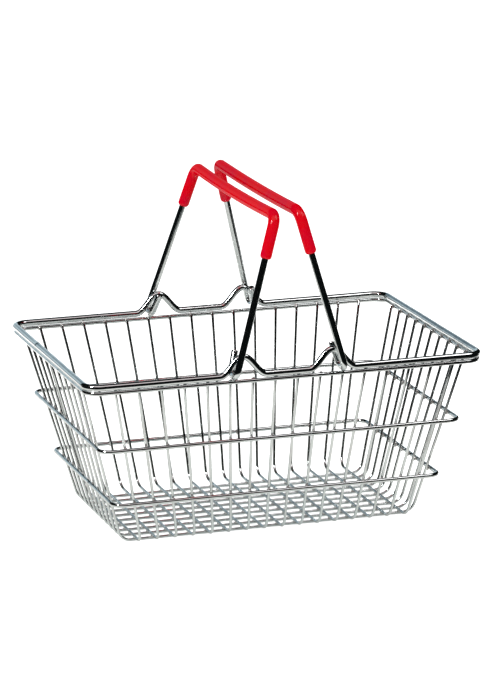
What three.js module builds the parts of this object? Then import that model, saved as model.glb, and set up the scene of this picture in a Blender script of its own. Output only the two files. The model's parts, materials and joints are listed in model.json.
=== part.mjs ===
// Hand-held wire shopping basket: a welded wire basket with two folding bail handles, each with a
// plastic sleeve. Millimetres, +Z up. The basket stands on z = 0, its long side runs along X, and
// its centre is over the origin. The handles stand up and lean towards each other.
import * as THREE from "three";

// ---- Driving sizes -------------------------------------------------------------------------------

// Basket, measured on the centre-lines of its wires.
const topLength = 427; // rim, along X
const topWidth = 300; // rim, along Y
const rimHeight = 186; // centre of the top rim above the ground
const rimCorner = 16; // bend radius of both rims in plan
const endTaper = 0.268; // how far an end wall leans outwards for each mm of height
const sideTaper = 0.238; // the same for a long wall
const upperHoopHeight = 113;
const lowerHoopHeight = 50.5;
const hoopCorner = 12;

// Wires: diameters.
const rimWire = 7;
const lowerRimWire = 4.5;
const hoopWire = 4.5;
const crossWire = 3; // the wires that run across the basket
const longWire = 3; // the wires that run along it, on which it stands
const handleWire = 7.2;
const sleeveOuter = 12;

// The two sets of U-shaped wires.
const crossCount = 16;
const crossInsetTop = 29.5; // from the outermost one to the top rim's centre, at the rim
const crossInsetFloor = 14.7; // and to the end wall's wires, on the floor
const longCount = 10;
const longInsetTop = 38;
const longInsetFloor = 23.4;
const floorBend = 14; // bend radius between floor and wall
const wireTopRise = 1.2; // how far a wire's end stands above the lower rim's centre

// Humps in the top rim that the handles hook under, on both long sides.
const humpRise = 19.7;
const humpHalfWidth = 25.5;
const humpOffset = 48.5; // each hump's centre from the middle of the side

// Handles, measured on the wire's centre-line.
const handleLength = 168.5; // hinge axis to the middle of the bar's ends
const handleNarrowing = 24; // how far each leg runs inwards on its way up
const handleCorner = 13;
const barSag = 2;
const hookWidth = 19; // between the leg and the hook's inner arm, at the bottom
const hookBend = 7.5;
const hookHeight = 24; // the inner arm's tip above the hinge axis
const hookFlare = 8; // how far that tip stands away from the rim
const hookReach = 14.1; // from a hump's centre to the outside of the wire hooked under it
const leftLean = 17.6; // degrees from upright, towards the other handle
const rightLean = 14.2;
const sleeveOnLeg = 45; // how far a sleeve reaches down each leg

// Gaps.
const weldGap = 0.3; // between two wires that are welded where they cross
const sleeveGap = 0.3; // between a sleeve's bore and its wire
const swingGap = 0.4; // between a handle and the rim it swings on

// Facets.
const thinSides = 8;
const thickSides = 12;
const cornerSteps = 5;
const humpSteps = 12;

// ---- Sizes that follow ---------------------------------------------------------------------------

const rimHalfLength = topLength / 2;
const rimHalfWidth = topWidth / 2;

// A faceted wire's corners stand this much farther out than its flats.
const thinGrowth = 1 / Math.cos(Math.PI / thinSides);
const thickGrowth = 1 / Math.cos(Math.PI / thickSides);
const lowerRimHeight =
  rimHeight - (rimWire * thickGrowth + lowerRimWire * thinGrowth) / 2 - weldGap;
const longFloorHeight = longWire / 2;
const crossFloorHeight = longWire + weldGap + crossWire / 2;
const wireTop = lowerRimHeight + wireTopRise;

// Half the distance between two opposite walls' wires, on the wire's centre-line, at height z.
function wallHalf(rimHalf, wire, taper, z) {
  return rimHalf - (lowerRimWire + wire) / 2 - weldGap - taper * (lowerRimHeight - z);
}
const endHalf = (z) => wallHalf(rimHalfLength, longWire, endTaper, z);
const sideHalf = (z) => wallHalf(rimHalfWidth, crossWire, sideTaper, z);

// Each set's outermost wires stand this far from the middle.
const crossHalfTop = rimHalfLength - crossInsetTop;
const crossHalfFloor = endHalf(longFloorHeight) - crossInsetFloor;
const longHalfTop = rimHalfWidth - longInsetTop;
const longHalfFloor = sideHalf(crossFloorHeight) - longInsetFloor;

// How far a hoop's centre-line stands outside a leaning wire's, so that the two just clear.
function hoopOffset(wire, taper) {
  return ((hoopWire + wire) / 2 + weldGap) * Math.hypot(1, taper);
}

const hingeOffset = hookReach - handleWire / 2; // hinge axis outwards of the hump's centre
const hingeHeight =
  lowerRimHeight + (lowerRimWire * thinGrowth + handleWire * thickGrowth) / 2 + swingGap;
const passingGap = (rimWire + handleWire) / 2 * thickGrowth + swingGap;
const humpTop = rimHeight + humpRise - hingeHeight; // the hump's peak above the hinge axis
const legSlope = handleNarrowing / handleLength;
const legHalfSpan = rimHalfWidth + passingGap + legSlope * humpTop;
const barHalfSpan = legHalfSpan - handleNarrowing;

// ---- Paths ---------------------------------------------------------------------------------------

// A wire's centre-line through given stations. Its section keeps one pair of flats facing `side`.
class WirePath extends THREE.Curve {
  constructor(stations, side, closed = false) {
    super();
    this.stations = stations;
    this.side = side;
    this.closed = closed;
    this.steps = closed ? stations.length : stations.length - 1;
  }

  station(i) {
    const n = this.stations.length;
    return this.stations[this.closed ? (i + n) % n : Math.min(Math.max(i, 0), n - 1)];
  }

  getPointAt(u, target = new THREE.Vector3()) {
    return target.copy(this.station(Math.round(u * this.steps)));
  }

  getTangentAt(u, target = new THREE.Vector3()) {
    const i = Math.round(u * this.steps);
    const here = this.station(i);
    const before = this.station(i - 1).clone().sub(here).negate();
    const after = this.station(i + 1).clone().sub(here);
    return target.copy(before.normalize()).add(after.normalize()).normalize();
  }

  computeFrenetFrames(steps) {
    const tangents = [];
    const normals = [];
    const binormals = [];
    for (let i = 0; i <= steps; i++) {
      const tangent = this.getTangentAt(i / steps);
      const binormal = this.side.clone().addScaledVector(tangent, -this.side.dot(tangent)).normalize();
      tangents.push(tangent);
      binormals.push(binormal);
      normals.push(binormal.clone().cross(tangent));
    }
    return { tangents, normals, binormals };
  }
}

// The stations of a line through `corners` with each inner corner turned to an arc.
function bent(corners, radius, steps = cornerSteps) {
  const stations = [corners[0]];
  for (let i = 1; i < corners.length - 1; i++) {
    const back = corners[i - 1].clone().sub(corners[i]).normalize();
    const on = corners[i + 1].clone().sub(corners[i]).normalize();
    const half = back.angleTo(on) / 2;
    const reach = radius / Math.tan(half);
    const toCentre = back.clone().add(on).setLength(radius / Math.sin(half));
    const centre = corners[i].clone().add(toCentre);
    const from = corners[i].clone().addScaledVector(back, reach).sub(centre);
    const to = corners[i].clone().addScaledVector(on, reach).sub(centre);
    const axis = from.clone().cross(to).normalize();
    const turn = from.angleTo(to);
    for (let k = 0; k <= steps; k++) {
      stations.push(from.clone().applyAxisAngle(axis, turn * k / steps).add(centre));
    }
  }
  stations.push(corners[corners.length - 1]);
  return stations;
}

// A level ring with rounded corners, counter-clockwise from above. `rises` lists places along a long
// side, in the order of +X, as pairs of x and how far the wire rises there.
function ring(halfLength, halfWidth, height, corner, rises = []) {
  const stations = [];
  const quarters = [[1, -1, -90], [1, 1, 0], [-1, 1, 90], [-1, -1, 180]];
  for (const [sx, sy, start] of quarters) {
    for (let k = 0; k <= cornerSteps; k++) {
      const turn = THREE.MathUtils.degToRad(start + 90 * k / cornerSteps);
      const x = sx * (halfLength - corner) + corner * Math.cos(turn);
      const y = sy * (halfWidth - corner) + corner * Math.sin(turn);
      stations.push(new THREE.Vector3(x, y, height));
    }
    if (sx === sy) {
      for (const [x, rise] of rises) {
        stations.push(new THREE.Vector3(-sx * x, sy * halfWidth, height + rise));
      }
    }
  }
  return stations;
}

// The rim's rise along a long side: two humps, each one wave of a cosine.
function humpRises() {
  const rises = [];
  for (const centre of [-humpOffset, humpOffset]) {
    for (let k = 0; k <= humpSteps; k++) {
      const along = -1 + 2 * k / humpSteps;
      rises.push([centre + humpHalfWidth * along, humpRise / 2 * (1 + Math.cos(Math.PI * along))]);
    }
  }
  return rises;
}

// ---- Solids --------------------------------------------------------------------------------------

const chrome = () =>
  new THREE.MeshStandardMaterial({ color: 0xd4d6d8, roughness: 0.12, metalness: 1 });
const redVinyl = () =>
  new THREE.MeshStandardMaterial({ color: 0xd80018, roughness: 0.25, metalness: 0 });

// A regular polygon whose flats are `diameter` apart.
function sectionPoints(diameter, sides) {
  const radius = diameter / 2 / Math.cos(Math.PI / sides);
  return Array.from({ length: sides }, (_, i) => {
    const turn = (i + 0.5) * 2 * Math.PI / sides;
    return new THREE.Vector2(radius * Math.cos(turn), radius * Math.sin(turn));
  });
}

function openWire(name, stations, side, diameter, sides) {
  const path = new WirePath(stations, side);
  const section = new THREE.Shape(sectionPoints(diameter, sides));
  const geometry = new THREE.ExtrudeGeometry(section, { extrudePath: path, steps: path.steps });
  return named(name, geometry, chrome());
}

function closedWire(name, stations, diameter, sides) {
  const path = new WirePath(stations, new THREE.Vector3(0, 0, 1), true);
  const radius = diameter / 2 / Math.cos(Math.PI / sides);
  const geometry = new THREE.TubeGeometry(path, path.steps, radius, sides, true);
  return named(name, geometry, chrome());
}

function named(name, geometry, material) {
  const mesh = new THREE.Mesh(geometry, material);
  mesh.name = name;
  return mesh;
}

// ---- Sub-parts -----------------------------------------------------------------------------------

function topRim() {
  const stations = ring(rimHalfLength, rimHalfWidth, rimHeight, rimCorner, humpRises());
  return closedWire("top_rim", stations, rimWire, thickSides);
}

function lowerRim() {
  const stations = ring(rimHalfLength, rimHalfWidth, lowerRimHeight, rimCorner);
  return closedWire("lower_rim", stations, lowerRimWire, thinSides);
}

function hoop(name, height) {
  const halfLength = endHalf(height) + hoopOffset(longWire, endTaper);
  const halfWidth = sideHalf(height) + hoopOffset(crossWire, sideTaper);
  return closedWire(name, ring(halfLength, halfWidth, height, hoopCorner), hoopWire, thinSides);
}

// Evenly spaced places, from -half to half.
const place = (i, count, half) => half * ((2 * i) / (count - 1) - 1);

function crossWires() {
  return Array.from({ length: crossCount }, (_, i) => {
    const top = place(i, crossCount, crossHalfTop);
    const floor = place(i, crossCount, crossHalfFloor);
    const rim = sideHalf(wireTop);
    const foot = sideHalf(crossFloorHeight);
    const corners = [
      new THREE.Vector3(top, -rim, wireTop),
      new THREE.Vector3(floor, -foot, crossFloorHeight),
      new THREE.Vector3(floor, foot, crossFloorHeight),
      new THREE.Vector3(top, rim, wireTop),
    ];
    const side = new THREE.Vector3(1, 0, 0);
    return openWire("cross_wire_" + (i + 1), bent(corners, floorBend), side, crossWire, thinSides);
  });
}

function longWires() {
  return Array.from({ length: longCount }, (_, i) => {
    const top = place(i, longCount, longHalfTop);
    const floor = place(i, longCount, longHalfFloor);
    const rim = endHalf(wireTop);
    const foot = endHalf(longFloorHeight);
    const corners = [
      new THREE.Vector3(-rim, top, wireTop),
      new THREE.Vector3(-foot, floor, longFloorHeight),
      new THREE.Vector3(foot, floor, longFloorHeight),
      new THREE.Vector3(rim, top, wireTop),
    ];
    const side = new THREE.Vector3(0, 1, 0);
    return openWire("long_wire_" + (i + 1), bent(corners, floorBend), side, longWire, thinSides);
  });
}

// A handle upright over its hinge axis, in the plane x = 0 with the axis along Y at z = 0.
const upright = (y, z) => new THREE.Vector3(0, y, z);

// The bend at the top of one leg and half of the sagging bar, from the leg inwards.
function handleTop(sign) {
  const corner = [
    upright(sign * legHalfSpan, 0),
    upright(sign * barHalfSpan, handleLength),
    upright(0, handleLength),
  ];
  const stations = bent(corner, handleCorner, cornerSteps + 2).slice(1, -1);
  const barEnd = Math.abs(stations[stations.length - 1].y);
  const quarter = upright(sign * barEnd / 2, handleLength - barSag * 0.75);
  return [...stations, quarter];
}

function handleBar() {
  const middle = upright(0, handleLength - barSag);
  return [...handleTop(-1), middle, ...handleTop(1).reverse()];
}

function handleHook(sign) {
  const inner = legHalfSpan - hookWidth;
  const corners = [
    upright(sign * (inner - hookFlare), hookHeight),
    upright(sign * inner, 0),
    upright(sign * legHalfSpan, 0),
    upright(sign * barHalfSpan, handleLength),
  ];
  return bent(corners, hookBend, cornerSteps + 2).slice(0, -1);
}

function handleStations() {
  return [...handleHook(-1), ...handleBar(), ...handleHook(1).reverse()];
}

// The part of the handle's line that a sleeve covers.
function sleeveStations() {
  const leg = upright(legHalfSpan, 0).sub(upright(barHalfSpan, handleLength)).normalize();
  const ends = [-1, 1].map((sign) => {
    const down = upright(sign * leg.y, leg.z).multiplyScalar(sleeveOnLeg);
    return upright(sign * barHalfSpan, handleLength).add(down);
  });
  return [ends[0], ...handleBar(), ends[1]];
}

function sleeve(name) {
  const path = new WirePath(sleeveStations(), new THREE.Vector3(1, 0, 0));
  const section = new THREE.Shape(sectionPoints(sleeveOuter, thickSides));
  section.holes.push(new THREE.Path(sectionPoints(handleWire + 2 * sleeveGap, thickSides)));
  const geometry = new THREE.ExtrudeGeometry(section, { extrudePath: path, steps: path.steps });
  return named(name, geometry, redVinyl());
}

// One handle with its sleeve, hooked under the humps on one side of the middle.
function handle(side, sign, lean) {
  const group = new THREE.Group();
  const across = new THREE.Vector3(1, 0, 0);
  group.add(openWire(side + "_handle", handleStations(), across, handleWire, thickSides));
  group.add(sleeve(side + "_grip"));
  group.position.set(sign * (humpOffset + hingeOffset), 0, hingeHeight);
  group.rotation.y = THREE.MathUtils.degToRad(-sign * lean);
  return group;
}

const basket = new THREE.Group();
basket.add(topRim());
basket.add(lowerRim());
basket.add(hoop("upper_hoop", upperHoopHeight));
basket.add(hoop("lower_hoop", lowerHoopHeight));
basket.add(...crossWires());
basket.add(...longWires());
basket.add(handle("left", -1, leftLean));
basket.add(handle("right", 1, rightLean));

export default basket;
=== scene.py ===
"""Looks of a hand-held wire shopping basket with two folding handles.

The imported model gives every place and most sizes. Each wire is drawn again as a smooth round wire,
with the marks that bending, welding and plating leave on it, and the grips as soft vinyl sleeves.
Lengths are in metres unless a name or a property says otherwise.
"""

import json
import math

import bmesh
import bpy
from bpy.props import FloatProperty, FloatVectorProperty, IntProperty, PointerProperty
from mathutils import Matrix, Vector, noise


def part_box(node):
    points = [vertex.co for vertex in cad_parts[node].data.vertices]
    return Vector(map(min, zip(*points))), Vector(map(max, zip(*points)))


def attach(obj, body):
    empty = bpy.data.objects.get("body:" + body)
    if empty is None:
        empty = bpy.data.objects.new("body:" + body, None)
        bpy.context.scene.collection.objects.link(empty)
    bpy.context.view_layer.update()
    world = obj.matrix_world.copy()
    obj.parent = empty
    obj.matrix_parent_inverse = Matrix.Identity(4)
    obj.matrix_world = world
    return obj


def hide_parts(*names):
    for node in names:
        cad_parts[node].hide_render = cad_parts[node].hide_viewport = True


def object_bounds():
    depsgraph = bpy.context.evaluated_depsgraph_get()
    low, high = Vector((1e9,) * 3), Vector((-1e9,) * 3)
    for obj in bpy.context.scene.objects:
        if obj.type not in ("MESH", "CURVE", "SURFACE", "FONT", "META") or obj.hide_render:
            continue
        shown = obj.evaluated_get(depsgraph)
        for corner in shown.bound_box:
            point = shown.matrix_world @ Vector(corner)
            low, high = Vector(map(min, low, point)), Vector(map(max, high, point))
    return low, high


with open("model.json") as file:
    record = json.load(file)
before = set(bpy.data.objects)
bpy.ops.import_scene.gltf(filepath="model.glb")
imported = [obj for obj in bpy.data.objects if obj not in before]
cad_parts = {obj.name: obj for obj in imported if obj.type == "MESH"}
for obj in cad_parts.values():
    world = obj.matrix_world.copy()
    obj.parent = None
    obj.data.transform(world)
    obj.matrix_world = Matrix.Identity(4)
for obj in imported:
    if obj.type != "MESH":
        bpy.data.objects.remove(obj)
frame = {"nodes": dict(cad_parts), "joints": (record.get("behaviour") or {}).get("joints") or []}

bl_info = {
    "name": "Wire Shopping Basket",
    "version": (1, 0, 0),
    "blender": (4, 5, 0),
    "location": "View3D > Sidebar > Wire Basket",
    "description": "Draws a welded wire basket and its folding handles over the packed model",
    "category": "Add Mesh",
}

CAD_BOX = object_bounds()
MM = 0.001
UP = Vector((0, 0, 1))
ALONG = Vector((1, 0, 0))
ACROSS = Vector((0, 1, 0))
CROSS_WIRES = sum(name.startswith("cross_wire_") for name in frame["nodes"])
LONG_WIRES = sum(name.startswith("long_wire_") for name in frame["nodes"])
LINE = "wire_line"  # per vertex: cosine and sine round the section, and millimetres along the wire
LONGEST_RUN = 0.02  # of a thick wire between two stations
LONGEST_MESH_RUN = 0.022  # and of a mesh wire
WAVE_RATE = 23  # how quickly a wire's waviness changes along it
SMOOTH_BELOW = math.radians(40)  # edges bent less than this are shaded smooth

# Where each ring's butt weld is, as y on the left end, and the half length of its collar.
SEAMS = {
    "top_rim": (0.045, 0.0032),
    "lower_rim": (-0.04, 0.0032),
    "upper_hoop": (0.03, 0.0022),
    "lower_hoop": (-0.025, 0.0022),
}


# ---- Properties ----------------------------------------------------------------------------------


def size(name, description, millimetres):
    """A length that a user can change, with its default in millimetres."""
    return FloatProperty(
        name=name,
        description=description,
        default=millimetres * MM,
        min=0,
        unit="LENGTH",
        subtype="DISTANCE",
        precision=5,
    )


def angle(name, description, degrees):
    """An angle that a user can change, with its default in degrees."""
    return FloatProperty(
        name=name, description=description, default=math.radians(degrees), subtype="ANGLE"
    )


def colour(name, description, rgb):
    """A linear colour that a user can change."""
    return FloatVectorProperty(
        name=name, description=description, default=rgb, size=3, min=0, max=1, subtype="COLOR"
    )


class WireSizes(bpy.types.PropertyGroup):
    rim: size("Rim wire", "Diameter of the top rim's wire", 7)
    lower_rim: size("Lower rim wire", "Diameter of the ring under the top rim", 4.5)
    hoop: size("Hoop wire", "Diameter of the two hoops", 4.5)
    mesh: size("Mesh wire", "Diameter of the wires that make walls and floor", 3)
    handle: size("Handle wire", "Diameter of the handles' wire", 7.2)
    rim_corner: size("Rim corner", "Bend radius of the rims in plan", 16)
    hoop_corner: size("Hoop corner", "Bend radius of the hoops in plan", 12)
    floor_bend: size("Floor bend", "Bend radius between floor and wall", 14)
    top_rise: size("Wire ends", "How far a wire's end stands above the lower rim's centre", 1.2)
    weld_gap: size("Weld gap", "Space that the model leaves between welded wires", 0.3)
    waviness: size("Waviness", "How far a drawn wire strays from straight", 0.22)
    hump_half_width: size("Hump half width", "Half the width of a hump in the rim", 25.5)
    hinge_offset: size("Hinge offset", "Hinge axis outwards of the hump's centre", 10.5)
    sides: IntProperty(name="Sides", description="Faces round a wire", default=20, min=8, max=48)


class HandleSizes(bpy.types.PropertyGroup):
    narrowing: size("Narrowing", "How far each leg runs inwards on its way up", 24)
    corner: size("Corner", "Bend radius between leg and bar", 13)
    sag: size("Sag", "How far the bar's middle hangs below its ends", 2)
    hook_width: size("Hook width", "Leg to inner arm at the bottom of the hook", 19)
    hook_bend: size("Hook bend", "Bend radius at the bottom of the hook", 7.5)
    hook_height: size("Hook height", "Inner arm's tip above the hinge axis", 24)
    hook_flare: size("Hook flare", "How far that tip stands away from the rim", 8)
    grip: size("Grip", "Diameter of the sleeve", 12)
    grip_on_leg: size("Grip on leg", "How far the sleeve reaches down each leg", 45)
    grip_round: size("Grip end", "Rounding of the sleeve's ends", 3.6)


class Finishes(bpy.types.PropertyGroup):
    plate: colour("Plate", "Bright chrome plate", (0.71, 0.74, 0.74))
    haze: colour("Haze", "Chrome plate where it is cloudy", (0.58, 0.57, 0.56))
    weld: colour("Weld", "Plated weld metal", (0.46, 0.43, 0.41))
    vinyl: colour("Vinyl", "Grip", (0.42, 0.0, 0.004))
    vinyl_worn: colour("Handled vinyl", "Grip where hands have dulled it", (0.38, 0.0, 0.012))
    floor: colour("Floor", "Pale floor", (0.95, 0.95, 0.95))
    tabletop: colour("Tabletop", "The floor near the object as gloss sees it", (0.48, 0.48, 0.46))
    # shade: painted shade, the floor under the object made darker where gloss sees it
    shade: colour("Shade", "The floor under the object as gloss sees it", (0.4, 0.43, 0.42))


# ---- Wire paths ----------------------------------------------------------------------------------


def bent(corners, radius, steps=10):
    """The stations of a line through corners, with each inner corner turned to an arc."""
    stations = [corners[0]]
    for before, corner, after in zip(corners, corners[1:], corners[2:]):
        back = (before - corner).normalized()
        on = (after - corner).normalized()
        half = back.angle(on) / 2
        centre = corner + (back + on).normalized() * (radius / math.sin(half))
        start = corner + back * (radius / math.tan(half)) - centre
        axis = on.cross(back).normalized()
        turn = math.pi - 2 * half
        for k in range(steps + 1):
            stations.append(centre + Matrix.Rotation(turn * k / steps, 3, axis) @ start)
    return [*stations, corners[-1]]


def divided(stations, longest, stray=0.0):
    """The same line with long runs divided, each new station a little astray from straight."""
    finer = [stations[0]]
    for start, end in zip(stations, stations[1:]):
        count = max(1, round((end - start).length / longest))
        for k in range(1, count):
            place = start.lerp(end, k / count)
            ease = math.sin(math.pi * k / count)
            finer.append(place + noise.noise_vector(place * WAVE_RATE) * stray * ease)
        finer.append(end)
    return finer


def ring_path(half_length, half_width, height, corner, start_y, rises=()):
    """A closed level line from start_y on the left end, towards the front, once round.

    rises lists places along a long side as pairs of x and how far the wire rises there.
    """
    stations = [Vector((-half_length, start_y, height))]
    for sx, sy, start in ((-1, -1, 180), (1, -1, 270), (1, 1, 0), (-1, 1, 90)):
        for k in range(11):
            turn = math.radians(start + 9 * k)
            x = sx * (half_length - corner) + corner * math.cos(turn)
            y = sy * (half_width - corner) + corner * math.sin(turn)
            stations.append(Vector((x, y, height)))
        if sx == sy:
            for x, rise in rises:
                stations.append(Vector((-sx * x, sy * half_width, height + rise)))
    return [*stations, stations[0].copy()]


def matrices(stations, side, closed=False):
    """A matrix at each station: its Z runs along the wire and its Y keeps to side."""
    made = []
    last = len(stations) - 1
    for i, place in enumerate(stations):
        before = stations[last - 1] if closed and i == 0 else stations[max(i - 1, 0)]
        after = stations[1] if closed and i == last else stations[min(i + 1, last)]
        incoming = (place - before).normalized()
        outgoing = (after - place).normalized()
        tangent = (incoming + outgoing).normalized()
        binormal = (side - side.dot(tangent) * tangent).normalized()
        normal = binormal.cross(tangent)
        turn = Matrix((normal, binormal, tangent)).transposed().to_4x4()
        made.append(Matrix.Translation(place) @ turn)
    return made


def scaled(matrix, advance, scale):
    """The matrix moved along its own Z, with its section scaled."""
    return matrix @ Matrix.Translation((0, 0, advance)) @ Matrix.Diagonal((scale, scale, 1, 1))


def rounded_ends(rings, depth, smallest, steps):
    """Rings for a round nose at both ends, within the line's own length."""

    def nose(matrix, way):
        made = []
        for k in range(steps):
            turn = math.pi / 2 * k / steps
            scale = smallest + (1 - smallest) * math.sin(turn)
            made.append(scaled(matrix, way * depth * (1 - math.cos(turn)), scale))
        return made

    start = nose(rings[0], 1)
    end = nose(rings[-1], -1)[::-1]
    inner_start = scaled(rings[0], depth, 1)
    inner_end = scaled(rings[-1], -depth, 1)
    return [*start, inner_start, *rings[1:-1], inner_end, *end]


def welded_start(rings, collar):
    """A closed line's rings with the upset collar of its butt weld at the seam."""
    profile = ((-1, 1), (-0.6, 1.025), (-0.28, 1.085), (-0.08, 1.06))
    start = [scaled(rings[0], -collar * place, grown) for place, grown in reversed(profile)]
    end = [scaled(rings[0], collar * place, grown) for place, grown in profile]
    return [*start, *rings[1:-1], *end]


# ---- Meshes --------------------------------------------------------------------------------------


def mark_ring(bm, verts, matrix, along):
    """Stores on each vertex of a ring where it is on the wire."""
    layer = bm.verts.layers.float_vector[LINE]
    to_section = matrix.inverted()
    for vert in verts:
        flat = (to_section @ vert.co).to_2d().normalized()
        vert[layer] = (flat.x, flat.y, along / MM)


def sweep(bm, rings, radius, sides, closed=False):
    """A round wire through the rings' matrices."""
    made = bmesh.ops.create_circle(bm, segments=sides, radius=radius, matrix=rings[0])
    verts = made["verts"]
    edges = list({edge for vert in verts for edge in vert.link_edges})
    first = list(edges)
    along = 0.0
    mark_ring(bm, verts, rings[0], along)
    for before, after in zip(rings, rings[1:]):
        grown = bmesh.ops.extrude_edge_only(bm, edges=edges)["geom"]
        verts = [item for item in grown if isinstance(item, bmesh.types.BMVert)]
        new = set(verts)
        edges = [
            item
            for item in grown
            if isinstance(item, bmesh.types.BMEdge) and new.issuperset(item.verts)
        ]
        bmesh.ops.transform(bm, matrix=after @ before.inverted(), verts=verts)
        along += (after.translation - before.translation).length
        mark_ring(bm, verts, after, along)
    if closed:
        bmesh.ops.bridge_loops(bm, edges=[*edges, *first])
    else:
        for loop in (first, edges):
            bmesh.ops.edgeloop_fill(bm, edges=loop)


def new_piece(name, body, slot, material, fill, *replaced):
    """Adds a finished piece: fill draws it in a bmesh, and it rides on a body."""
    mesh = bpy.data.meshes.new(name)
    bm = bmesh.new()
    bm.verts.layers.float_vector.new(LINE)
    fill(bm)
    bmesh.ops.recalc_face_normals(bm, faces=bm.faces)
    for face in bm.faces:
        face.smooth = True
    for edge in bm.edges:
        edge.smooth = edge.calc_face_angle(0) < SMOOTH_BELOW
    bm.to_mesh(mesh)
    bm.free()
    piece = bpy.data.objects.new(name, mesh)
    bpy.context.scene.collection.objects.link(piece)
    mesh.materials.append(material)
    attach(piece, body)
    if replaced:
        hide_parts(*replaced)


def half_extent(node, axis):
    low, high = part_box(node)
    return (high[axis] - low[axis]) / 2


# ---- The basket's own lines ----------------------------------------------------------------------


def level_ring(node, wire):
    """Half length, half width and height of a level ring's centre-line."""
    low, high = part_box(node)
    height = (low[2] + high[2]) / 2
    return half_extent(node, 0) - wire / 2, half_extent(node, 1) - wire / 2, height


def wall_line(axis, sizes):
    """The centre-line of a wall's wires as a function of height, from where the hoops are."""
    upper = level_ring("upper_hoop", sizes.hoop)
    lower = level_ring("lower_hoop", sizes.hoop)
    taper = (upper[axis] - lower[axis]) / (upper[2] - lower[2])
    offset = ((sizes.hoop + sizes.mesh) / 2 + sizes.weld_gap) * math.hypot(1, taper)
    return lambda height: upper[axis] - offset - taper * (upper[2] - height)


def spread(node, axis, wire):
    """Where a wire stands at the rim and on the floor, along the axis it is spaced on."""
    low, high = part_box(node)
    inner, outer = sorted((low[axis] + wire / 2, high[axis] - wire / 2), key=abs)
    return outer, inner


def mesh_wire_corners(node, axis, sizes):
    """The four corners of a U-shaped wire that is spaced along axis and runs along the other."""
    run = 1 - axis
    wall = wall_line(run, sizes)
    top_height = level_ring("lower_rim", sizes.lower_rim)[2] + sizes.top_rise
    floor_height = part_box(node)[0][2] + sizes.mesh / 2
    top, floor = spread(node, axis, sizes.mesh)
    corners = []
    for way, place, height in (
        (-1, top, top_height),
        (-1, floor, floor_height),
        (1, floor, floor_height),
        (1, top, top_height),
    ):
        corner = Vector((0, 0, height))
        corner[axis] = place
        corner[run] = way * wall(height)
        corners.append(corner)
    return corners


def place_at(corners, height, way):
    """Where a wire's leg crosses a height, on its low-numbered (-1) or high-numbered (1) end."""
    top, foot = (corners[0], corners[1]) if way < 0 else (corners[3], corners[2])
    return foot.lerp(top, (height - foot.z) / (top.z - foot.z))


def hump_rises(sizes):
    """The top rim's rise along a long side: two humps, each one wave of a cosine."""
    low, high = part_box("top_rim")
    rise = high[2] - low[2] - sizes.rim
    hinges = sorted(joint["pos_m"][0] for joint in frame["joints"])
    rises = []
    for hinge in hinges:
        centre = hinge - math.copysign(sizes.hinge_offset, hinge)
        for k in range(25):
            part = -1 + k / 12
            lift = rise / 2 * (1 + math.cos(math.pi * part))
            rises.append((centre + sizes.hump_half_width * part, lift))
    return rises


class HandleShape:
    """One handle's lines, upright over its hinge axis until placed() leans it."""

    def __init__(self, side, handles, sizes):
        joint = next(j for j in frame["joints"] if j["child"] == "handle_" + side)
        self.hinge = Vector(joint["pos_m"])
        low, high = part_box(side + "_grip")
        inner = high[0] - handles.grip / 2 if self.hinge.x < 0 else low[0] + handles.grip / 2
        top = Vector((inner, 0, high[2] - handles.grip / 2)) - self.hinge
        self.length = math.hypot(top.x, top.z)
        self.lean = math.atan2(top.x, top.z)
        self.handles = handles
        slant = math.pi / 2 - math.atan(handles.narrowing / self.length)
        bulge = handles.hook_bend * (1 / math.tan(slant / 2) - 1)
        self.leg = half_extent(side + "_handle", 1) - sizes.handle / 2 + bulge
        self.bar = self.leg - handles.narrowing

    def top_bend(self, way):
        """From a leg round the bend and half way along one half of the sagging bar."""
        corners = [
            Vector((0, way * self.leg, 0)),
            Vector((0, way * self.bar, self.length)),
            Vector((0, 0, self.length)),
        ]
        bend = bent(corners, self.handles.corner, steps=14)[1:-1]
        end = abs(bend[-1].y)
        for k in range(1, 6):
            part = k / 6
            drop = self.handles.sag * (1 - (1 - part) ** 2)
            bend.append(Vector((0, way * end * (1 - part), self.length - drop)))
        return bend

    def hook(self, way):
        """From the inner arm's tip round the bottom of the hook to the start of the leg."""
        inner = self.leg - self.handles.hook_width
        corners = [
            Vector((0, way * (inner - self.handles.hook_flare), self.handles.hook_height)),
            Vector((0, way * inner, 0)),
            Vector((0, way * self.leg, 0)),
            Vector((0, way * self.bar, self.length)),
        ]
        return bent(corners, self.handles.hook_bend, steps=12)[:-1]

    def over(self):
        middle = Vector((0, 0, self.length - self.handles.sag))
        return [*self.top_bend(-1), middle, *reversed(self.top_bend(1))]

    def wire(self):
        return [*self.hook(-1), *self.over(), *reversed(self.hook(1))]

    def sleeve(self):
        ends = []
        for way in (-1, 1):
            corner = Vector((0, way * self.bar, self.length))
            down = (Vector((0, way * self.leg, 0)) - corner).normalized()
            ends.append(corner + down * self.handles.grip_on_leg)
        return [ends[0], *self.over(), ends[1]]

    def placed(self, stations):
        turn = Matrix.Rotation(self.lean, 4, "Y")
        return [self.hinge + turn @ place for place in stations]

    def across(self):
        return Matrix.Rotation(self.lean, 3, "Y") @ ALONG


# ---- Materials -----------------------------------------------------------------------------------


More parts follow.
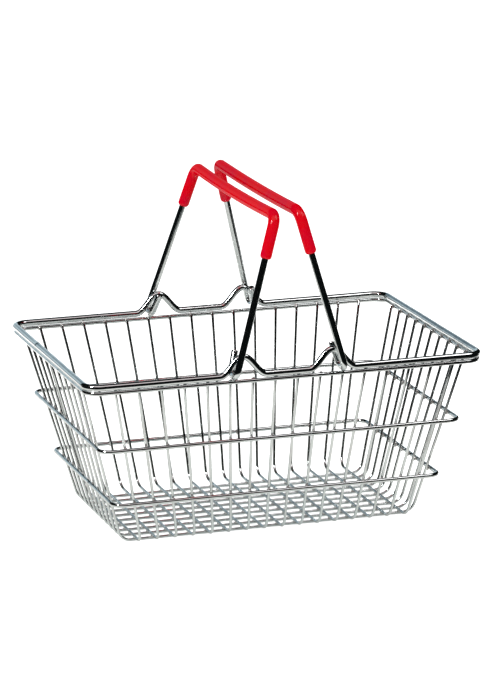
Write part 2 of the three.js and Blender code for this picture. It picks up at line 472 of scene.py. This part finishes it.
class Nodes:
    """Short names for building a node tree. An input is a value or another node's output."""

    def __init__(self, tree):
        self.tree = tree

    def add(self, kind, inputs=None, **settings):
        node = self.tree.nodes.new("ShaderNode" + kind)
        for key, value in settings.items():
            setattr(node, key, value)
        for key, value in (inputs or {}).items():
            if isinstance(value, bpy.types.NodeSocket):
                self.tree.links.new(value, node.inputs[key])
            else:
                node.inputs[key].default_value = value
        return node

    def object_place(self):
        return self.add("TexCoord").outputs["Object"]

    def wire_place(self, scale):
        """Place on a wire: round the section, then along the wire in millimetres."""
        line = self.add("Attribute", attribute_name=LINE, attribute_type="GEOMETRY")
        return self.add("Mapping", {"Vector": line.outputs["Vector"], "Scale": scale}).outputs[0]

    def noise(self, place, scale, detail=3.0, roughness=0.5):
        inputs = {"Vector": place, "Scale": scale, "Detail": detail, "Roughness": roughness}
        return self.add("TexNoise", inputs).outputs["Fac"]

    def ranged(self, value, low, high, to_low=0.0, to_high=1.0):
        inputs = {
            "Value": value,
            "From Min": low,
            "From Max": high,
            "To Min": to_low,
            "To Max": to_high,
        }
        return self.add("MapRange", inputs).outputs["Result"]

    def mixed(self, factor, first, second):
        """A colour between two, each a colour or another node's output."""
        inputs = {0: factor}
        for key, value in ((6, first), (7, second)):
            inputs[key] = value if isinstance(value, bpy.types.NodeSocket) else (*value, 1)
        return self.add("Mix", inputs, data_type="RGBA").outputs[2]

    def measured(self, place, operation, other):
        """The distance from, or the dot product with, another vector."""
        return self.add("VectorMath", {0: place, 1: other}, operation=operation).outputs["Value"]

    def computed(self, operation, first, second):
        return self.add("Math", {0: first, 1: second}, operation=operation).outputs[0]

    def for_gloss(self, matt, gloss):
        """One colour for what matt surfaces and the camera see, and one for gloss."""
        return self.mixed(self.add("LightPath").outputs["Is Glossy Ray"], matt, gloss)

    def bump(self, height, strength, distance, under=None):
        inputs = {"Height": height, "Strength": strength, "Distance": distance}
        if under is not None:
            inputs["Normal"] = under
        return self.add("Bump", inputs).outputs["Normal"]


class Paint(Nodes):
    """A new material and its nodes."""

    def __init__(self, name):
        self.material = bpy.data.materials.new(name)
        self.material.use_nodes = True
        self.shader = self.material.node_tree.nodes["Principled BSDF"]
        super().__init__(self.material.node_tree)

    def shade(self, **inputs):
        """Sets the shader's sockets, whose names are written with underscores."""
        for key, value in inputs.items():
            socket = self.shader.inputs[key.replace("_", " ")]
            if isinstance(value, bpy.types.NodeSocket):
                self.tree.links.new(value, socket)
            else:
                socket.default_value = value
        return self.material


PLATES = {  # roughness of the smoothest and the roughest lines, and how cloudy the plate gets
    "rim_plate": (0.025, 0.08, 0.5),
    "satin_plate": (0.035, 0.1, 0.8),  # the lower rim and the hoops
    "wire_plate": (0.04, 0.13, 0.75),
    "handle_plate": (0.02, 0.07, 0.4),
}


def chrome(name, finishes, smoothest, roughest, clouding):
    """Chrome plate on drawn wire: die lines along it, fine orange peel, and cloudy patches."""
    nodes = Paint(name)
    place = nodes.object_place()
    die_lines = nodes.noise(nodes.wire_place((5, 5, 0.04)), 1.0, 4, 0.65)
    patches = nodes.noise(place, 42, 4, 0.6)
    cloudy = nodes.ranged(patches, 0.5, 0.72, 0, clouding)
    peel = nodes.noise(place, 900, 2)
    dents = nodes.noise(nodes.wire_place((0.5, 0.5, 0.09)), 1.0, 2)
    worn = nodes.ranged(die_lines, 0.35, 0.75, smoothest, roughest)
    rough = nodes.computed("ADD", worn, nodes.ranged(cloudy, 0, 1, 0, 0.12))
    normal = nodes.bump(dents, 0.35, 0.0004)
    normal = nodes.bump(die_lines, 0.12, 0.00005, normal)
    normal = nodes.bump(peel, 0.08, 0.00004, normal)
    return nodes.shade(
        Base_Color=nodes.mixed(cloudy, finishes.plate, finishes.haze),
        Metallic=1.0,
        Roughness=rough,
        Normal=normal,
    )


def weld_metal(finishes):
    """Plated weld metal: lumpy, duller than the wire, with scorched specks."""
    nodes = Paint("plated_weld")
    place = nodes.object_place()
    lumps = nodes.noise(place, 1100, 3)
    scorch = nodes.ranged(nodes.noise(place, 260, 3), 0.4, 0.62)
    return nodes.shade(
        Base_Color=nodes.mixed(scorch, finishes.weld, finishes.haze),
        Metallic=1.0,
        Roughness=nodes.ranged(lumps, 0.3, 0.7, 0.16, 0.42),
        Normal=nodes.bump(lumps, 0.5, 0.0002),
    )


def vinyl(finishes):
    """Soft glossy vinyl: draw lines along the sleeve, fine peel, and handled patches."""
    nodes = Paint("red_vinyl")
    place = nodes.object_place()
    handled = nodes.ranged(nodes.noise(place, 38, 4, 0.55), 0.45, 0.65)
    draw_lines = nodes.noise(nodes.wire_place((6, 6, 0.03)), 1.0, 3)
    peel = nodes.noise(place, 520, 2)
    ripple = nodes.noise(nodes.wire_place((0.6, 0.6, 0.11)), 1.0, 2)
    scuffs = nodes.ranged(nodes.noise(nodes.wire_place((9, 9, 0.5)), 1.0, 5, 0.7), 0.58, 0.7)
    worn = nodes.ranged(handled, 0, 1, 0.12, 0.2)
    rough = nodes.computed("ADD", worn, nodes.ranged(scuffs, 0, 1, 0, 0.1))
    normal = nodes.bump(ripple, 0.3, 0.0006)
    normal = nodes.bump(draw_lines, 0.1, 0.0001, normal)
    normal = nodes.bump(peel, 0.07, 0.00008, normal)
    return nodes.shade(
        Base_Color=nodes.mixed(handled, finishes.vinyl, finishes.vinyl_worn),
        Roughness=rough,
        Specular_IOR_Level=0.0,
        Coat_Weight=0.15,
        Coat_IOR=2.2,
        Coat_Roughness=0.12,
        Normal=normal,
    )


def plate(name, finishes):
    """The chrome plate of that name, made the first time it is asked for."""
    return bpy.data.materials.get(name) or chrome(name, finishes, *PLATES[name])


# ---- Operators: the basket -----------------------------------------------------------------------


class BASKET_OT_rims(bpy.types.Operator):
    """Draw the thick top rim with its humps and the thinner ring under it"""

    bl_idname = "basket.rims"
    bl_label = "Rims"

    def execute(self, context):
        sizes = context.scene.basket_wires
        finishes = context.scene.basket_finishes
        low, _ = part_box("top_rim")
        half_length = half_extent("top_rim", 0) - sizes.rim / 2
        half_width = half_extent("top_rim", 1) - sizes.rim / 2
        height = low[2] + sizes.rim / 2
        seam, collar = SEAMS["top_rim"]
        rises = hump_rises(sizes)
        upper = ring_path(half_length, half_width, height, sizes.rim_corner, seam, rises)
        fill = self.drawn(upper, collar, sizes.rim, sizes.sides + 8, sizes)
        metal = plate("rim_plate", finishes)
        new_piece("top_rim_wire", "basket", "rim_chrome", metal, fill, "top_rim")
        seam, collar = SEAMS["lower_rim"]
        lower = ring_path(*level_ring("lower_rim", sizes.lower_rim), sizes.rim_corner, seam)
        fill = self.drawn(lower, collar, sizes.lower_rim, sizes.sides, sizes)
        metal = plate("satin_plate", finishes)
        new_piece("lower_rim_wire", "basket", "rim_chrome", metal, fill, "lower_rim")
        return {"FINISHED"}

    @staticmethod
    def drawn(path, collar, wire, sides, sizes):
        stations = divided(path, LONGEST_RUN, sizes.waviness)
        rings = welded_start(matrices(stations, UP, closed=True), collar)
        return lambda bm: sweep(bm, rings, wire / 2, sides, closed=True)


class BASKET_OT_hoops(bpy.types.Operator):
    """Draw the two hoops round the walls"""

    bl_idname = "basket.hoops"
    bl_label = "Hoops"

    def execute(self, context):
        sizes = context.scene.basket_wires
        metal = plate("satin_plate", context.scene.basket_finishes)
        for node in ("upper_hoop", "lower_hoop"):
            seam, collar = SEAMS[node]
            path = ring_path(*level_ring(node, sizes.hoop), sizes.hoop_corner, seam)
            stations = divided(path, LONGEST_RUN, sizes.waviness)
            rings = welded_start(matrices(stations, UP, closed=True), collar)

            def draw(bm, rings=rings):
                sweep(bm, rings, sizes.hoop / 2, sizes.sides, closed=True)

            new_piece(node + "_wire", "basket", "wire_chrome", metal, draw, node)
        return {"FINISHED"}


class BASKET_OT_mesh_wires(bpy.types.Operator):
    """Draw the U-shaped wires that make the walls and the floor"""

    bl_idname = "basket.mesh_wires"
    bl_label = "Mesh Wires"

    def execute(self, context):
        sizes = context.scene.basket_wires
        metal = plate("wire_plate", context.scene.basket_finishes)
        for prefix, count, axis in (("cross", CROSS_WIRES, 0), ("long", LONG_WIRES, 1)):
            for i in range(1, count + 1):
                node = f"{prefix}_wire_{i}"
                corners = mesh_wire_corners(node, axis, sizes)
                path = divided(bent(corners, sizes.floor_bend), LONGEST_MESH_RUN, sizes.waviness)
                rings = matrices(path, (ALONG, ACROSS)[axis])
                rings = rounded_ends(rings, depth=0.0005, smallest=0.72, steps=3)

                def draw(bm, rings=rings):
                    sweep(bm, rings, sizes.mesh / 2, sizes.sides - 4)

                new_piece(node + "_drawn", "basket", "wire_chrome", metal, draw, node)
        return {"FINISHED"}


class BASKET_OT_welds(bpy.types.Operator):
    """Draw the weld nuggets where wires cross"""

    bl_idname = "basket.welds"
    bl_label = "Welds"

    # Half sizes of a bead as parts of a wire's diameter, and how far each bead strays from them.
    ALONG_RING = 0.78
    ACROSS_RING = 0.66
    THROUGH_RING = 0.42
    ON_FLOOR = (0.66, 0.66, 0.36)
    UNEVEN = 0.22
    BEAD_RATE = 310  # how quickly that unevenness changes from bead to bead

    def execute(self, context):
        sizes = context.scene.basket_wires
        metal = weld_metal(context.scene.basket_finishes)
        cross = [self.corners("cross", i, 0, sizes) for i in range(CROSS_WIRES)]
        long = [self.corners("long", i, 1, sizes) for i in range(LONG_WIRES)]
        rings = (
            ("rim_welds", "lower_rim", sizes.lower_rim),
            ("upper_hoop_welds", "upper_hoop", sizes.hoop),
            ("lower_hoop_welds", "lower_hoop", sizes.hoop),
        )
        for name, node, wire in rings:
            beads = self.on_ring(node, wire, cross, 1, sizes)
            beads += self.on_ring(node, wire, long, 0, sizes)
            new_piece(name, "basket", "wire_chrome", metal, self.drawn(beads))
        beads = self.on_floor(cross, long, sizes)
        new_piece("floor_welds", "basket", "wire_chrome", metal, self.drawn(beads))
        return {"FINISHED"}

    @staticmethod
    def corners(prefix, i, axis, sizes):
        return mesh_wire_corners(f"{prefix}_wire_{i + 1}", axis, sizes)

    def on_ring(self, node, wire, wires, axis, sizes):
        """A bead between a ring and each leg that it crosses; axis is the way the wall faces."""
        height = level_ring(node, wire)[2]
        reach = level_ring(node, wire)[axis]
        beads = []
        for corners in wires:
            for way in (-1, 1):
                leg = place_at(corners, height, way)
                bead = leg.copy()
                bead[axis] = way * (abs(leg[axis]) + sizes.mesh / 2 + reach - wire / 2) / 2
                along = sizes.mesh * self.ALONG_RING
                radii = Vector((along, along, wire * self.ACROSS_RING))
                radii[axis] = sizes.mesh * self.THROUGH_RING
                beads.append((bead, radii))
        return beads

    def on_floor(self, cross, long, sizes):
        """A bead between each two wires that cross on the floor."""
        beads = []
        for over in cross:
            for under in long:
                height = (over[1].z + under[1].z) / 2
                place = Vector((over[1].x, under[1].y, height))
                beads.append((place, Vector(self.ON_FLOOR) * sizes.mesh))
        return beads

    def drawn(self, beads):
        def draw(bm):
            for place, radii in beads:
                stray = noise.noise_vector(place * self.BEAD_RATE) * self.UNEVEN
                uneven = Vector((1, 1, 1)) + stray
                shape = Matrix.Diagonal((*(r * u for r, u in zip(radii, uneven)), 1))
                bmesh.ops.create_icosphere(
                    bm, subdivisions=2, radius=1, matrix=Matrix.Translation(place) @ shape
                )

        return draw


# ---- Operators: the handles ----------------------------------------------------------------------


class BASKET_OT_handles(bpy.types.Operator):
    """Draw the two bail handles with their hooks"""

    bl_idname = "basket.handles"
    bl_label = "Handles"

    def execute(self, context):
        sizes = context.scene.basket_wires
        metal = plate("handle_plate", context.scene.basket_finishes)
        for side in ("left", "right"):
            shape = HandleShape(side, context.scene.basket_handles, sizes)
            path = shape.placed(divided(shape.wire(), LONGEST_RUN, sizes.waviness))
            rings = matrices(path, shape.across())
            rings = rounded_ends(rings, depth=0.0011, smallest=0.62, steps=4)

            def draw(bm, rings=rings):
                sweep(bm, rings, sizes.handle / 2, sizes.sides + 8)

            body = "handle_" + side
            new_piece(side + "_bail", body, "handle_chrome", metal, draw, side + "_handle")
        return {"FINISHED"}


class BASKET_OT_grips(bpy.types.Operator):
    """Draw the vinyl sleeves on the handles"""

    bl_idname = "basket.grips"
    bl_label = "Grips"

    def execute(self, context):
        sizes = context.scene.basket_wires
        handles = context.scene.basket_handles
        soft = vinyl(context.scene.basket_finishes)
        for side in ("left", "right"):
            shape = HandleShape(side, handles, sizes)
            path = shape.placed(divided(shape.sleeve(), longest=0.008))
            neck = sizes.handle * 1.04 / handles.grip  # the end closes just off the wire
            rings = matrices(path, shape.across())
            rings = rounded_ends(rings, handles.grip_round, neck, steps=7)

            def draw(bm, rings=rings):
                sweep(bm, rings, handles.grip / 2, sizes.sides + 12)

            new_piece(
                side + "_sleeve", "handle_" + side, "grip_vinyl", soft, draw, side + "_grip"
            )
        return {"FINISHED"}


# ---- Operators: the stage ------------------------------------------------------------------------


class BASKET_OT_stage(bpy.types.Operator):
    """Lay the pale floor, set the soft lights and aim the camera"""

    bl_idname = "basket.stage"
    bl_label = "Stage"

    azimuth: angle("Azimuth", "Camera's direction from the front, towards the right", -18.01)
    elevation: angle("Elevation", "Camera's height above the horizon", 13.92)
    roll: angle("Roll", "Camera's turn about its own view", -0.48)
    distance: size("Distance", "Camera to the point it looks at", 4015)
    lens: FloatProperty(name="Lens", description="Focal length in millimetres", default=193.0)

    LOOK_AT = Vector((0.0124, 0.0139, -0.0085))  # from the middle of the model's box
    ROOM_LIGHT = (1.15, 1.15, 1.15)

    # What gloss sees round the object. Beyond the tabletop and off the wall it is dark.
    WALL_LOW = (0.55, 0.67, 0.73)
    WALL_HIGH = (0.2, 0.27, 0.32)
    OVERHEAD = (1.05, 0.93, 0.94)
    DARK = (0.003, 0.004, 0.004)
    BEYOND = (0.002, 0.003, 0.003)

    def execute(self, context):
        context.scene.view_settings.view_transform = "Standard"
        self.lay_floor(context)
        self.set_world(context)
        self.hang_lights(context)
        self.aim_camera(context)
        return {"FINISHED"}

    def back(self):
        """From the object towards the camera."""
        level = math.cos(self.elevation)
        return Vector(
            (
                math.sin(self.azimuth) * level,
                -math.cos(self.azimuth) * level,
                math.sin(self.elevation),
            )
        )

    def lay_floor(self, context):
        mesh = bpy.data.meshes.new("floor")
        bm = bmesh.new()
        bmesh.ops.create_grid(bm, x_segments=1, y_segments=1, size=30)
        bm.to_mesh(mesh)
        bm.free()
        floor = bpy.data.objects.new("floor", mesh)
        context.scene.collection.objects.link(floor)
        mesh.materials.append(self.floor_paint(context.scene.basket_finishes))

    def floor_paint(self, finishes):
        """Matt pale floor. Gloss sees it as a tabletop that ends a little way round the object, with
        painted shade on it under the object.
        """
        nodes = Paint("pale_floor")
        place = nodes.object_place()
        toward = nodes.measured(place, "DOT_PRODUCT", self.level_view())
        stretched = nodes.ranged(toward, -0.5, 0.1, 0.25, 1)
        radius = nodes.measured(place, "DISTANCE", (-0.13, 0, 0))
        beyond = nodes.ranged(nodes.computed("MULTIPLY", radius, stretched), 0.36, 0.5)
        # Painted shade: gloss sees the floor darker under the object, fading out to the tabletop
        # colour
        under = nodes.measured(place, "DISTANCE", (0, 0.02, 0))
        gloss = nodes.mixed(nodes.ranged(under, 0.1, 0.24), finishes.shade, finishes.tabletop)
        gloss = nodes.mixed(nodes.ranged(toward, -0.4, -0.65), gloss, finishes.floor)
        gloss = nodes.mixed(beyond, gloss, self.BEYOND)
        seen = nodes.for_gloss(finishes.floor, gloss)
        return nodes.shade(
            Base_Color=seen,
            Emission_Color=seen,
            Emission_Strength=0.4,
            Roughness=0.9,
            Specular_IOR_Level=0.0,
        )

    def level_view(self):
        """Over the floor, from the object towards the camera."""
        return Vector((self.back().x, self.back().y, 0)).normalized()

    def set_world(self, context):
        """Even white light for matt surfaces, and a studio's bright and dark parts for gloss."""
        world = bpy.data.worlds.new("studio")
        context.scene.world = world
        world.use_nodes = True
        nodes = Nodes(world.node_tree)
        way = nodes.add("TexCoord").outputs["Generated"]
        _, depth, height = nodes.add("SeparateXYZ", {0: way}).outputs
        ahead = nodes.measured(way, "DOT_PRODUCT", self.level_view())
        wall = nodes.mixed(nodes.ranged(height, 0.24, 0.38), self.WALL_LOW, self.WALL_HIGH)
        gloss = nodes.mixed(nodes.ranged(depth, 0.86, 0.92), self.DARK, wall)
        high_up, in_front = nodes.ranged(height, 0.72, 0.82), nodes.ranged(ahead, 0.0, 0.18)
        overhead = nodes.computed("MULTIPLY", high_up, in_front)
        gloss = nodes.mixed(overhead, gloss, self.OVERHEAD)
        seen = nodes.for_gloss(self.ROOM_LIGHT, gloss)
        nodes.tree.links.new(seen, nodes.tree.nodes["Background"].inputs["Color"])

    def hang_lights(self, context):
        """A softbox above the right end, and a strip up on the left that streaks the grips."""
        toward = self.level_view()
        sideways = Vector((-toward.y, toward.x, 0))
        softbox = Vector((0.72, -0.5, 1.3))
        strip = toward * 1.0 - sideways * 1.1 + UP * 1.5
        self.hang_light(context, "softbox", softbox, wide=0.55, tall=0.6, power=2.6)
        self.hang_light(context, "left_strip", strip, wide=0.24, tall=0.6, power=19.0)

    @staticmethod
    def hang_light(context, name, place, wide, tall, power):
        """A flat light that faces the handles, its sizes in metres and its power in watts."""
        light = bpy.data.lights.new(name, "AREA")
        light.shape = "RECTANGLE"
        light.size = wide
        light.size_y = tall
        light.energy = power
        lamp = bpy.data.objects.new(name, light)
        context.scene.collection.objects.link(lamp)
        lamp.location = place
        lamp.rotation_mode = "QUATERNION"
        lamp.rotation_quaternion = (Vector((0, 0, 0.3)) - place).to_track_quat("-Z", "Y")
        lamp.visible_camera = False

    def aim_camera(self, context):
        low, high = CAD_BOX
        aim = (low + high) / 2 + self.LOOK_AT
        lens = bpy.data.cameras.new("camera")
        lens.lens = self.lens
        lens.clip_end = 100
        camera = bpy.data.objects.new("camera", lens)
        context.scene.collection.objects.link(camera)
        camera.rotation_mode = "QUATERNION"
        camera.location = aim + self.back() * self.distance
        level = (-self.back()).to_track_quat("-Z", "Y")
        camera.rotation_quaternion = level @ Matrix.Rotation(self.roll, 3, "Z").to_quaternion()
        context.scene.camera = camera


# ---- The add-on ----------------------------------------------------------------------------------


class BASKET_PT_sidebar(bpy.types.Panel):
    """Buttons and sizes in the 3D view's sidebar"""

    bl_idname = "BASKET_PT_sidebar"
    bl_label = "Wire Basket"
    bl_space_type = "VIEW_3D"
    bl_region_type = "UI"
    bl_category = "Wire Basket"

    def draw(self, context):
        for group in GROUPS:
            values = getattr(context.scene, group)
            box = self.layout.box()
            for key in values.bl_rna.properties.keys():
                if key not in ("rna_type", "name"):
                    box.prop(values, key)
        for step in STEPS:
            self.layout.operator(step.bl_idname)


GROUPS = {
    "basket_wires": WireSizes,
    "basket_handles": HandleSizes,
    "basket_finishes": Finishes,
}
STEPS = (
    BASKET_OT_rims,
    BASKET_OT_hoops,
    BASKET_OT_mesh_wires,
    BASKET_OT_welds,
    BASKET_OT_handles,
    BASKET_OT_grips,
    BASKET_OT_stage,
)


def register():
    for kind in (*GROUPS.values(), *STEPS, BASKET_PT_sidebar):
        bpy.utils.register_class(kind)
    for name, kind in GROUPS.items():
        setattr(bpy.types.Scene, name, PointerProperty(type=kind))


def unregister():
    for name in GROUPS:
        delattr(bpy.types.Scene, name)
    for kind in reversed((*GROUPS.values(), *STEPS, BASKET_PT_sidebar)):
        bpy.utils.unregister_class(kind)


def main():
    register()
    for step in STEPS:
        family, name = step.bl_idname.split(".")
        getattr(getattr(bpy.ops, family), name)()


if __name__ == "__main__":
    main()
